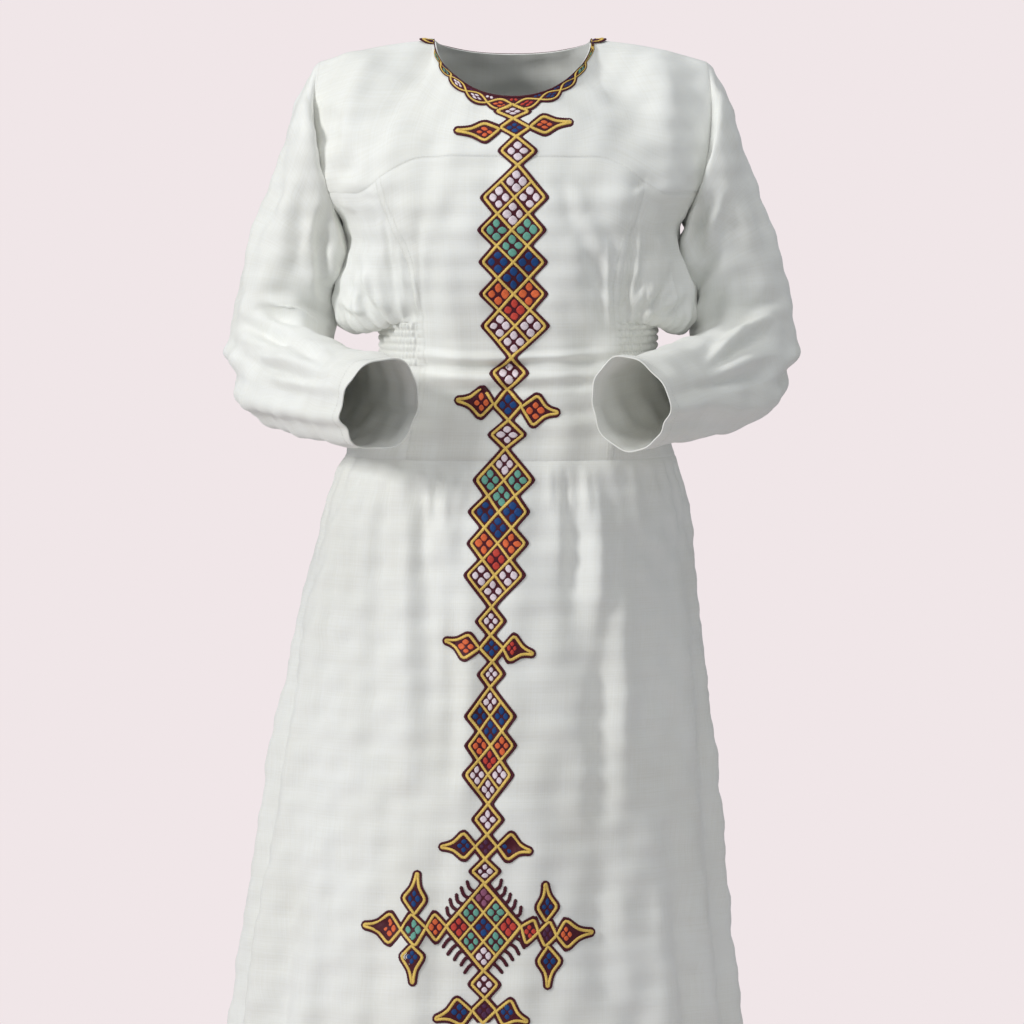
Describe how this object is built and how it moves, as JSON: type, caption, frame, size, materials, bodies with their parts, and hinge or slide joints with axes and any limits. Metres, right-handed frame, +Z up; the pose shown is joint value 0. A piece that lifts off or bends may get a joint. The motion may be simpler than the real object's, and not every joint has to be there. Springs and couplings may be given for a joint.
{
  "type": "habesha kemis dress",
  "caption": "Long white cotton dress with set-in sleeves, shirred side waist, gathered skirt, embroidered neck border and a chain of embroidered lozenges down the front.",
  "frame": {"origin": "middle of the shoulder line, between the two neck points, where the wearer's shoulders hold the dress", "axes": "+Z up, front of the dress towards -Y, +X towards the wearer's left"},
  "size_m": [0.6387, 0.5576, 1.3625],
  "materials": {
    "white_cotton": "fine plain-woven white cotton, matt",
    "embroidery": "maroon, gold, blue, teal, orange and white embroidery thread with a soft sheen"
  },
  "bodies": {
    "root": {"front_yoke": "white_cotton", "back_yoke": "white_cotton", "centre_front": "white_cotton", "centre_back": "white_cotton", "side_panel_right": "white_cotton", "side_panel_left": "white_cotton", "shirred_waist_right": "white_cotton", "shirred_waist_left": "white_cotton", "side_waist_right": "white_cotton", "side_waist_left": "white_cotton", "sleeve_right": "white_cotton", "sleeve_left": "white_cotton", "skirt_front": "white_cotton", "skirt_back": "white_cotton", "neck_border": "embroidery", "centre_chain": "embroidery", "cross_1_arm_right": "embroidery", "cross_1_arm_left": "embroidery", "cross_2_arm_right": "embroidery", "cross_2_arm_left": "embroidery", "cross_3_arm_right": "embroidery", "cross_3_arm_left": "embroidery", "cross_4_arm_right": "embroidery", "cross_4_arm_left": "embroidery", "cross_5_arm_right": "embroidery", "cross_5_arm_left": "embroidery", "medallion_side_right": "embroidery", "medallion_side_left": "embroidery"}
  },
  "joints": []
}
